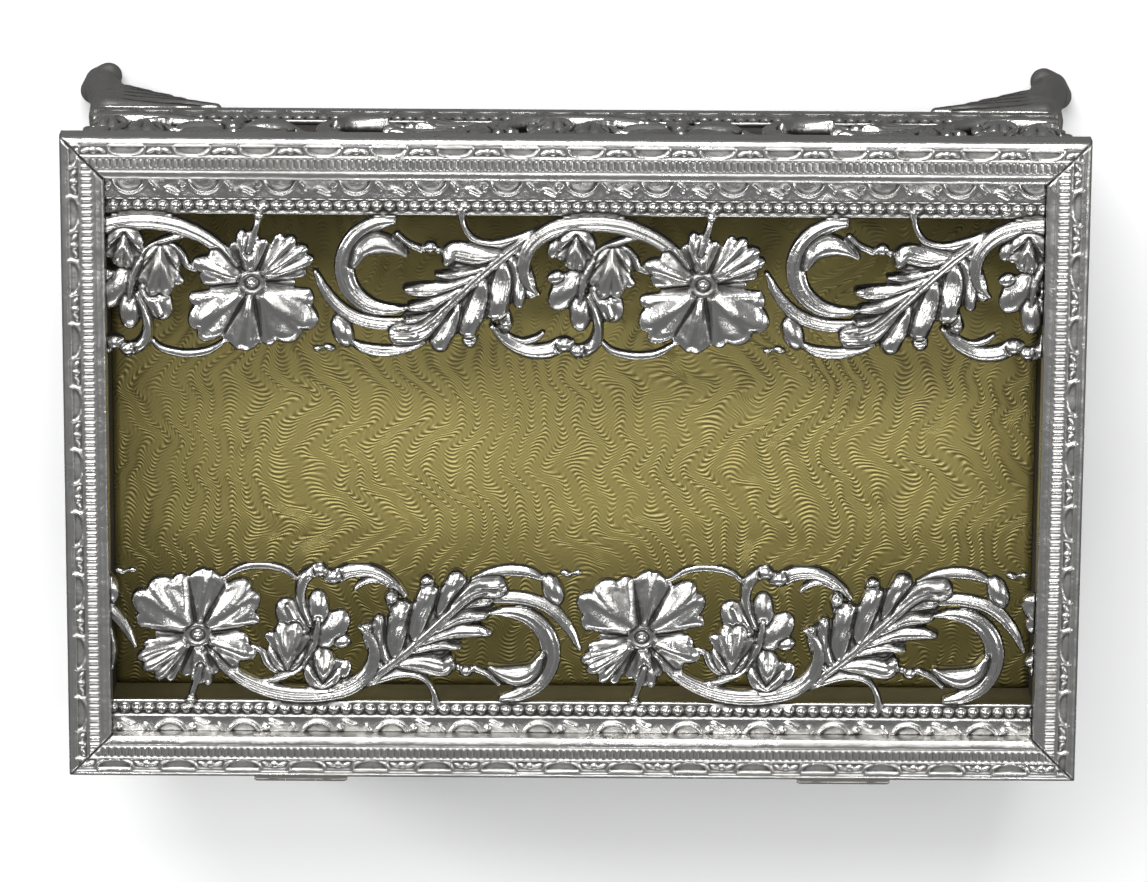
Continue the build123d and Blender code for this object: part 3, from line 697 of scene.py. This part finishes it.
bandPlaces = {  # node: across, out, first flower, how far it is moved towards the border, body
    "lid_filigree_front": ((0, -1, 0), (0, 0, 1), 25.4, 0.0, "lid"),
    "lid_filigree_back": ((0, 1, 0), (0, 0, 1), -13.9, 1.25, "lid"),
    "wall_filigree_front": ((0, 0, -1), (0, -1, 0), 21.0, 0.0, "box"),
    "wall_filigree_back": ((0, 0, -1), (0, 1, 0), -21.0, 0.0, "box"),
    "wall_filigree_left": ((0, 0, -1), (-1, 0, 0), 4.0, 0.0, "box"),
    "wall_filigree_right": ((0, 0, -1), (1, 0, 0), 4.0, 0.0, "box"),
}


def makeBands():
    relief = drawBand()
    material = silverPlate("worn silver filigree", 0.20, 0.92, 0.55)
    railInner = nodeBox("lid_rail_front")[1][1]
    lipTop = nodeBox("base_plate")[1][2]
    for node, (across, out, firstFlower, moved, body) in bandPlaces.items():
        plane, length = bandPlane(node, across, out)
        onLid = body == "lid"
        cover = abs(railInner) if onLid else -lipTop
        flatBorder = cover - plane[0] @ plane[2] - moved
        flatEnd = nodeBox("lid_rail_right")[0][0] - 0.1 if onLid else length
        mesh = bandMesh(node, relief, plane, length, firstFlower, flatEnd, flatBorder, moved)
        piece = addPiece(node + "_relief", mesh, material)
        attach(piece, body)
        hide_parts(node)
    print("filigree bands made")


railPlaces = {  # node: corner where the run starts as signs of (x, y), run, inward
    "lid_rail_front": ((1, -1), (-1, 0, 0), (0, 1, 0)),
    "lid_rail_back": ((-1, 1), (1, 0, 0), (0, -1, 0)),
    "lid_rail_left": ((-1, -1), (0, 1, 0), (1, 0, 0)),
    "lid_rail_right": ((1, 1), (0, -1, 0), (-1, 0, 0)),
}


def makeRails():
    material = silverPlate("worn silver moulding", 0.26, 0.8, 0.9)
    for node, (corner, run, inward) in railPlaces.items():
        low, high = nodeBox(node)
        size = high - low
        start = ((low + high)[:2] + np.array(corner) * size[:2]) / 2
        run, inward = np.array(run, dtype=float), np.array(inward, dtype=float)
        length, width = abs(size @ run), abs(size @ inward)
        mesh = mouldingMesh(node, (*start, low[2]), run, inward, length, width, size[2])
        piece = addPiece(node + "_moulding", mesh, material)
        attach(piece, "lid")
        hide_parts(node)
    print("lid moulding made")


foil = {
    "gridStep": 1.5,
    "buckle": 0.10,      # how far the panel stands up in slow waves
    "waves": 9,
    "wavePitch": (28, 75),
    "ridgePitch": 0.9,
    "columnPitch": 8.0,
    "arc": 1.75,
    "stream": 19.0,      # how far the columns wander sideways
    "flutter": 2.6,      # smaller wander on top of it
    "lift": 4.0,         # how far the ridges wander along the columns
    "hatchPitch": 0.56,  # crossing ridges, in a few patches
    # shadow and light are the ridges' painted shade and painted highlight
    "shadow": (0.21, 0.17, 0.055, 1),
    "middle": (0.46, 0.385, 0.13, 1),
    "light": (0.64, 0.56, 0.25, 1),
    # colour of the painted shadow under the lid strips
    "paintedShadow": (0.13, 0.11, 0.035, 1),
    "shadowStart": 22.0,     # painted shadow starts this far from the middle and is full at the next length
    "shadowFull": 41.0,
}


def goldFoil():
    m = Shader("gold moire foil")
    scaled = m.add("ShaderNodeVectorMath", operation="SCALE")
    m.feed(scaled.inputs[0], m.place)
    scaled.inputs["Scale"].default_value = 1 / mm
    split = m.add("ShaderNodeSeparateXYZ")
    m.feed(split.inputs[0], scaled.outputs[0])
    x, y = split.outputs["X"], split.outputs["Y"]
    tall = m.add("ShaderNodeVectorMath", operation="MULTIPLY")
    m.feed(tall.inputs[0], m.place)
    tall.inputs[1].default_value = (0.45, 1.0, 1.0)
    # wandering columns of stacked arcs, flat between the columns
    slow = m.noise(48, 2, 0.5, vector=tall.outputs[0])
    quick = m.noise(150, 1, 0.5)
    drift = m.math("MULTIPLY", m.math("SUBTRACT", slow, 0.5), foil["stream"] * 2)
    drift = m.math("MULTIPLY_ADD", m.math("SUBTRACT", quick, 0.5), foil["flutter"], drift)
    column = m.math("MULTIPLY", m.math("ADD", x, drift), 2 * math.pi / foil["columnPitch"])
    wave = m.math("SINE", column)
    steep = m.math("ABSOLUTE", m.math("COSINE", column))
    lift = m.math("MULTIPLY", m.math("SUBTRACT", m.noise(70, 1, 0.5), 0.5), foil["lift"])
    lean = m.math("MULTIPLY_ADD", wave, foil["arc"], m.math("ADD", y, lift))
    ridge = m.math("SINE", m.math("MULTIPLY", lean, 2 * math.pi / foil["ridgePitch"]))
    shown = m.span(steep, 0.45, 0.92, 1.0, 0.05)
    fade = m.span(m.noise(120, 3, 0.55), 0.34, 0.56, 0.22, 1.0)
    crossing = m.math("MULTIPLY", x, 1.9)
    hatch = m.math("SINE", m.math("MULTIPLY_ADD", lean, 2 * math.pi / foil["hatchPitch"], crossing))
    messy = m.span(m.noise(95, 2, 0.6), 0.60, 0.70, 0.0, 0.35)
    height = m.math("MULTIPLY", m.math("MULTIPLY", ridge, shown), fade)
    height = m.math("MULTIPLY_ADD", hatch, messy, height)
    # the ridges are coloured by height: painted shade in the valleys, a painted highlight on the crests
    colour = m.mix(m.span(height, -1.0, -0.1), foil["shadow"], foil["middle"])
    colour = m.mix(m.span(height, 0.2, 1.1), colour, foil["light"])
    cloud = m.noise(22, 3, 0.5)
    colour = m.mix(m.span(cloud, 0.3, 0.7, 0.15, 0.5), colour, foil["middle"])
    # slow patches of painted shade across the foil
    colour = m.mix(m.span(m.noise(11, 2, 0.5), 0.42, 0.62, 0.0, 0.4), colour, foil["shadow"])
    # painted shadow along the front and the back, where the strips of the lid shade the foil
    paintedShadow = m.span(m.math("ABSOLUTE", y), foil["shadowStart"], foil["shadowFull"], 0.0, 0.75)
    m.to("Base Color", m.mix(paintedShadow, colour, foil["paintedShadow"]))
    m.to("Metallic", 0.55)
    m.to("Roughness", m.span(cloud, 0.3, 0.7, 0.36, 0.48))
    grain = m.bump(m.noise(2600, 2, 0.6), 0.2, 0.0002)
    m.to("Normal", m.bump(height, 0.7, 0.00012, grain))
    return m.material


def makeFloor():
    low, high = nodeBox("floor_panel")
    step = foil["gridStep"]
    x = np.linspace(low[0], high[0], round((high[0] - low[0]) / step) + 1)
    y = np.linspace(low[1], high[1], round((high[1] - low[1]) / step) + 1)
    u, w = np.meshgrid(x, y, indexing="ij")
    swell = np.zeros_like(u)
    for _ in range(foil["waves"]):
        turn = random.uniform(0, math.pi)
        pitch = random.uniform(*foil["wavePitch"])
        shift = random.uniform(0, 2 * math.pi)
        run = u * math.cos(turn) + w * math.sin(turn)
        swell += np.sin(run * 2 * math.pi / pitch + shift) / foil["waves"]
    height = foil["buckle"] * (swell + 0.6)
    thickness = high[2] - low[2]
    plane = (np.array((0, 0, high[2])), np.array((1.0, 0, 0)), np.array((0, 1.0, 0)), np.array((0, 0, 1.0)))
    cell = np.ones((len(x) - 1, len(y) - 1), dtype=bool)
    mesh = sheetMesh("floor_panel", plane, u, w, height, cell, thickness, np.zeros_like(u))
    piece = addPiece("floor_panel_foil", mesh, goldFoil())
    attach(piece, "box")
    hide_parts("floor_panel")
    print("foil floor made")


foot = {
    "voxel": 0.42,
    "toe": (-0.4, 2.7, 2.85, 2.2),     # inset from the corner, height, radius, half its spread
    "shank": [(0.2, 4.6, 3.9), (1.1, 7.5, 4.0), (2.4, 11.0, 4.2), (4.4, 15.0, 4.9), (6.6, 20.0, 5.8),
              (7.4, 23.0, 6.4)],
    "pad": 16.0,
    "padThickness": 2.0,
    # leaf blades on each wing: (along the wall from the corner, height, radius)
    "blades": [
        [(1.5, 7.6, 2.5), (5.6, 9.4, 2.3), (10.2, 11.6, 1.6)],
        [(1.5, 10.8, 2.6), (7.5, 13.2, 2.4), (14.4, 15.6, 1.6)],
        [(1.8, 14.4, 2.6), (8.5, 16.8, 2.4), (17.4, 18.8, 1.6)],
        [(2.0, 18.0, 2.7), (9.0, 20.0, 2.3), (17.5, 21.4, 2.0), (24.5, 22.6, 1.2)],
        [(2.4, 21.6, 2.6), (10.0, 22.6, 1.7), (16.0, 23.0, 1.2), (21.0, 23.4, 0.8)],
    ],
    "wingDepth": 0.3,                  # how far the blades' middles stand in from the base's edge
    "veinDepth": 0.30,
    "veinWidth": 0.32,
}


def limb(points):
    # balls close enough to join up, as (x, y, z, radius), along the given points
    line = np.array(points, dtype=float)
    balls = [line[-1]]
    for a, b in zip(line[:-1], line[1:]):
        count = max(2, int(np.linalg.norm(b[:3] - a[:3]) / (0.22 * min(a[3], b[3]))))
        balls += [a + (b - a) * t for t in np.arange(count) / count]
    return balls


def footShape():
    # made for a corner at the origin whose walls run along +x and +y; lengths in mm
    inset, height, radius, spread = foot["toe"]
    ends = [(inset + side * spread, inset - side * spread, height, radius) for side in (-0.7, 0.7)]
    balls = limb([ends[0], (inset - 0.5, inset - 0.5, height, radius), ends[1]])
    balls += limb([(i, i, z, r) for i, z, r in foot["shank"]])
    for blade in foot["blades"]:
        points = [(a, foot["wingDepth"] + 0.25 * r, z, r) for a, z, r in blade]
        balls += limb(points) + limb([(y, x, z, r) for x, y, z, r in points])
    balls = np.array(balls)
    bm = bmesh.new()
    bmesh.ops.create_icosphere(bm, subdivisions=3, radius=1.0)
    ball = np.array([v.co for v in bm.verts])
    sides = np.array([[v.index for v in f.verts] for f in bm.faces])
    bm.free()
    points = (balls[:, None, :3] + ball * balls[:, None, 3:]).reshape(-1, 3)
    sides = (sides + np.arange(len(balls))[:, None, None] * len(ball)).reshape(-1, 3)
    top = nodeBox("foot_front_left")[1][2]
    points[:, 2] = np.clip(points[:, 2], 0, top)
    pad = foot["pad"]
    levels = (top - foot["padThickness"], top)
    corners = np.array([(x, y, z) for x in (0, pad) for y in (0, pad) for z in levels])
    box = np.array([(0, 1, 3, 2), (4, 6, 7, 5), (0, 4, 5, 1), (2, 3, 7, 6), (0, 2, 6, 4), (1, 5, 7, 3)])
    mesh = bpy.data.meshes.new("foot lobes")
    faces = sides.tolist() + (box + len(points)).tolist()
    mesh.from_pydata(np.vstack([points, corners]).tolist(), [], faces)
    lobes = bpy.data.objects.new("foot lobes", mesh)
    bpy.context.scene.collection.objects.link(lobes)
    remesh = lobes.modifiers.new("joined", "REMESH")
    remesh.mode = "VOXEL"
    remesh.voxel_size = foot["voxel"]
    smooth = lobes.modifiers.new("softened", "SMOOTH")
    smooth.factor = 0.5
    smooth.iterations = 4
    cast = bpy.data.meshes.new_from_object(lobes.evaluated_get(bpy.context.evaluated_depsgraph_get()))
    bpy.data.objects.remove(lobes)
    return cast


def footGrooves(points):
    # a vein along the middle of each blade, cut into both wings
    cut = np.zeros(len(points))
    up = points[:, 2]
    for along, out in ((points[:, 0], points[:, 1]), (points[:, 1], points[:, 0])):
        outside = np.clip((2.0 - out) / 1.5, 0, 1) * np.clip((along - 4.0) / 3.0, 0, 1)
        for blade in foot["blades"]:
            line = curveThrough(blade, 6)
            best = np.full(len(points), 1e9)
            for a, b in zip(line[:-1], line[1:]):
                run = b[:2] - a[:2]
                t = np.clip(((along - a[0]) * run[0] + (up - a[1]) * run[1]) / (run @ run), 0, 1)
                best = np.minimum(best, np.hypot(along - a[0] - t * run[0], up - a[1] - t * run[1]))
            cut += foot["veinDepth"] * np.exp(-(best / foot["veinWidth"]) ** 2) * outside
    return cut


def makeFeet():
    shape = footShape()
    count = len(shape.vertices)
    points = np.empty(count * 3)
    normals = np.empty(count * 3)
    shape.vertices.foreach_get("co", points)
    shape.vertices.foreach_get("normal", normals)
    points, normals = points.reshape(-1, 3), normals.reshape(-1, 3)
    cut = footGrooves(points)
    points = points - normals * cut[:, None]
    top = nodeBox("foot_front_left")[1][2]
    points[:, 2] = np.clip(points[:, 2], 0, top)
    quads = np.empty(len(shape.loops), dtype=np.int64)
    shape.loops.foreach_get("vertex_index", quads)
    quads = quads.reshape(-1, 4)
    reach = nodeBox("base_plate")[1]
    material = silverPlate("cast silver", 0.22, 0.92, 0.5, 1.6)
    corners = (("front_left", -1, -1), ("front_right", 1, -1), ("back_left", -1, 1), ("back_right", 1, 1))
    for name, sx, sy in corners:
        x, y = sx * (reach[0] - points[:, 0]), sy * (reach[1] - points[:, 1])
        placed = np.stack([x, y, points[:, 2]], axis=-1)
        turned = quads[:, ::-1] if sx * sy < 0 else quads
        node = "foot_" + name
        # the veins take the darkening of hollows: tarnish and painted shade
        piece = addPiece(node + "_cast", gridMesh(node, placed, [turned], cut / foot["veinDepth"]), material)
        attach(piece, "box")
        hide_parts(node)
    print("cast feet made")


def darkCard(name, colour, grain):
    m = Shader(name)
    cloud = m.noise(45, 4, 0.6)
    fibre = m.noise(grain, 5, 0.7)
    darker = tuple(c * 0.45 for c in colour[:3]) + (1,)
    m.to("Base Color", m.mix(m.span(m.math("ADD", cloud, fibre), 0.75, 1.25), darker, colour))
    m.to("Roughness", m.span(fibre, 0.3, 0.7, 0.72, 0.92))
    m.to("Normal", m.bump(fibre, 0.45, 0.0004))
    return m.material


def finishCadPieces():
    sheet = silverPlate("plain silver sheet", 0.25, 0.9, 0.6)
    steel = plainMetal("hinge steel", (0.42, 0.40, 0.37, 1), 0.30)
    screws = plainMetal("screw steel", (0.50, 0.49, 0.46, 1), 0.28)
    backing = plainMetal("backing steel", (0.33, 0.32, 0.30, 1), 0.38)
    lining = darkCard("dark lining", (0.030, 0.024, 0.018, 1), 900)
    # the back lining has the foil's olive tone, darkened as painted shade
    backLining = darkCard("olive lining", (0.085, 0.070, 0.024, 1), 900)
    board = darkCard("floor card", (0.16, 0.125, 0.08, 1), 700)
    finishes = {
        "base_plate": (sheet, 0.25), "floor_board": (board, 0.1), "foot_screws": (screws, 0.2),
        "hinge_": (steel, 0.12), "lid_backing": (backing, 0.15), "lid_corner_keys": (backing, 0.15),
        "liner_back": (backLining, 0.2), "liner_front": (lining, 0.2),
        "liner_left": (lining, 0.2), "liner_right": (lining, 0.2),
    }
    for name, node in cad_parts.items():
        for start, (material, edge) in finishes.items():
            if name.startswith(start):
                node.data.materials.clear()
                node.data.materials.append(material)
                rounded = node.modifiers.new("soft edges", "BEVEL")
                rounded.width = edge * mm
                rounded.segments = 3
                rounded.limit_method = "ANGLE"
                rounded.harden_normals = True
    print("plain pieces finished")


# left and right are the camera's: it is turned half round, so that its left is +x
studio = {
    "floorSize": 3,      # metres from the middle to each side
    "floorColour": (0.88, 0.88, 0.88, 1),
    "floorInMetal": (0.10, 0.10, 0.10, 1),   # how pale the floor looks in the metal's reflections
    "overhead": (0.20, 0.20, 0.205, 1),
    "horizon": (0.30, 0.305, 0.31, 1),
    "tilt": 15.3,        # the overhead panels stand round this direction, leaning to the front
    "distance": 1.45,
    "panels": {  # offset along x, offset to the back, width, depth, power
        "front panel": (0.05, -0.36, 0.80, 0.20, 4.3),
        "back panel": (0.0, 0.30, 0.7, 0.12, 1.8),
        "left panel": (0.42, -0.04, 0.16, 0.45, 2.3),
        "right panel": (-0.42, -0.04, 0.16, 0.45, 2.0),
    },
    "softboxes": {  # place, width, depth, power
        "front softbox": ((0.15, -1.10, 0.85), 1.1, 0.20, 17),
        "left softbox": ((1.15, -0.50, 0.75), 0.26, 0.8, 9),
        "right softbox": ((-1.20, -0.10, 0.70), 0.22, 0.7, 5),
        "back strip": ((0.0, 1.20, 0.70), 1.2, 0.10, 5),
    },
}


def addSoftbox(name, place, width, depth, power):
    light = bpy.data.lights.new(name, "AREA")
    light.shape = "RECTANGLE"
    light.size, light.size_y = width, depth
    light.energy = power
    lamp = bpy.data.objects.new(name, light)
    lamp.location = place
    lamp.rotation_euler = (Vector((0, 0, 0.06)) - Vector(place)).to_track_quat("-Z", "Y").to_euler()
    bpy.context.scene.collection.objects.link(lamp)


def makeFloorAndLight():
    m = Shader("pale floor")
    glossy = m.add("ShaderNodeLightPath").outputs["Is Glossy Ray"]
    m.to("Base Color", m.mix(glossy, studio["floorColour"], studio["floorInMetal"]))
    m.to("Roughness", 0.7)
    mesh = bpy.data.meshes.new("studio floor")
    far = studio["floorSize"]
    mesh.from_pydata([(-far, -far, 0), (far, -far, 0), (far, far, 0), (-far, far, 0)], [], [(0, 1, 2, 3)])
    floor = addPiece("studio_floor", mesh, m.material)
    floor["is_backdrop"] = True
    for name, (place, width, depth, power) in studio["softboxes"].items():
        addSoftbox(name, place, width, depth, power)
    tilt = math.radians(studio["tilt"])
    out = Vector((0, -math.sin(tilt), math.cos(tilt)))
    back = Vector((0, math.cos(tilt), math.sin(tilt)))
    for name, (x, behind, width, depth, power) in studio["panels"].items():
        place = out * studio["distance"] + back * behind + Vector((x, 0, boxTop))
        addSoftbox(name, place, width, depth, power)
    world = bpy.data.worlds.new("studio")
    world.use_nodes = True
    nodes, links = world.node_tree.nodes, world.node_tree.links
    split = nodes.new("ShaderNodeSeparateXYZ")
    links.new(nodes.new("ShaderNodeTexCoord").outputs["Generated"], split.inputs[0])
    height = nodes.new("ShaderNodeMapRange")
    height.inputs["From Min"].default_value = 0.35
    height.inputs["From Max"].default_value = 0.95
    links.new(split.outputs["Z"], height.inputs["Value"])
    sky = nodes.new("ShaderNodeMix")
    sky.data_type = "RGBA"
    links.new(height.outputs["Result"], sky.inputs["Factor"])
    sky.inputs["A"].default_value = studio["horizon"]
    sky.inputs["B"].default_value = studio["overhead"]
    links.new(sky.outputs["Result"], nodes["Background"].inputs["Color"])
    bpy.context.scene.world = world
    print("floor and light set")


camera = {
    "tilt": 15.3,         # degrees from straight above, towards the front
    "distance": 1.2,
    "roll": 180.35,
    "lens": 189.1,
    "aim": (0.0, -0.0048, 0.07),
}


def makeCamera():
    data = bpy.data.cameras.new("camera")
    data.lens = camera["lens"]
    data.sensor_width = 36
    view = bpy.data.objects.new("camera", data)
    tilt = math.radians(camera["tilt"])
    away = camera["distance"]
    place = Vector((0, -math.sin(tilt) * away, boxTop + math.cos(tilt) * away))
    look = (Vector(camera["aim"]) - place).to_track_quat("-Z", "Y").to_matrix().to_4x4()
    roll = Matrix.Rotation(math.radians(camera["roll"]), 4, "Z")
    view.matrix_world = Matrix.Translation(place) @ look @ roll
    bpy.context.scene.collection.objects.link(view)
    bpy.context.scene.camera = view
    bpy.context.scene.view_settings.view_transform = "Standard"
    print("camera set")


makeBands()
makeRails()
makeFloor()
makeFeet()
finishCadPieces()
makeFloorAndLight()
makeCamera()

boxes = {"cad": cadBox, "visual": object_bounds()}
{key: [list(map(float, corner)) for corner in box] for key, box in boxes.items()}
